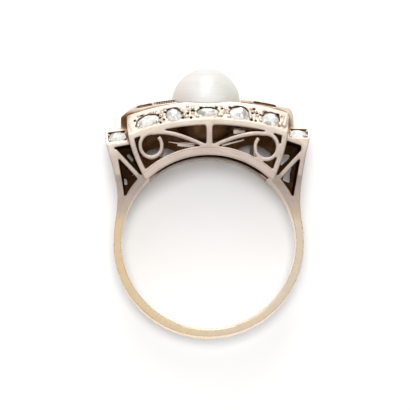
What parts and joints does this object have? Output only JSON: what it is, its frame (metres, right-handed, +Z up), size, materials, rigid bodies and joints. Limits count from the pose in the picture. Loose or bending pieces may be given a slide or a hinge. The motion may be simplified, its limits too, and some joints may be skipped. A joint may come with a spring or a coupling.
{
  "type": "pearl ring",
  "caption": "Antique style ring: a round pearl in a cup on a stepped head of bead-set old-cut stones, over pierced scroll galleries, with open braced shoulders and a gold hoop.",
  "frame": {"origin": "the ring lies on its side, on the flat outside of its far gallery plate; the origin is on the surface it lies on, under the middle of its outline", "axes": "+X to the right across the head, +Y from the hoop towards the pearl, +Z up along the finger hole's axis"},
  "size_m": [0.0204, 0.027, 0.01],
  "materials": {
    "white_metal": "satin",
    "gold": "polished",
    "pearl": "gloss",
    "stone": "polished"
  },
  "bodies": {
    "root": {"mounting": "white_metal", "shank": "gold", "pearl": "pearl", "row_stone_near_1": "stone", "row_stone_near_2": "stone", "row_stone_near_3": "stone", "row_stone_near_4": "stone", "row_stone_near_5": "stone", "row_stone_far_1": "stone", "row_stone_far_2": "stone", "row_stone_far_3": "stone", "row_stone_far_4": "stone", "row_stone_far_5": "stone", "wing_stone_left_centre": "stone", "wing_stone_left_inner_near": "stone", "wing_stone_left_inner_far": "stone", "wing_stone_left_outer_near": "stone", "wing_stone_left_outer_far": "stone", "wing_stone_right_centre": "stone", "wing_stone_right_inner_near": "stone", "wing_stone_right_inner_far": "stone", "wing_stone_right_outer_near": "stone", "wing_stone_right_outer_far": "stone", "shoulder_stone_left_near": "stone", "shoulder_stone_left_far": "stone", "shoulder_stone_right_near": "stone", "shoulder_stone_right_far": "stone"}
  },
  "joints": []
}
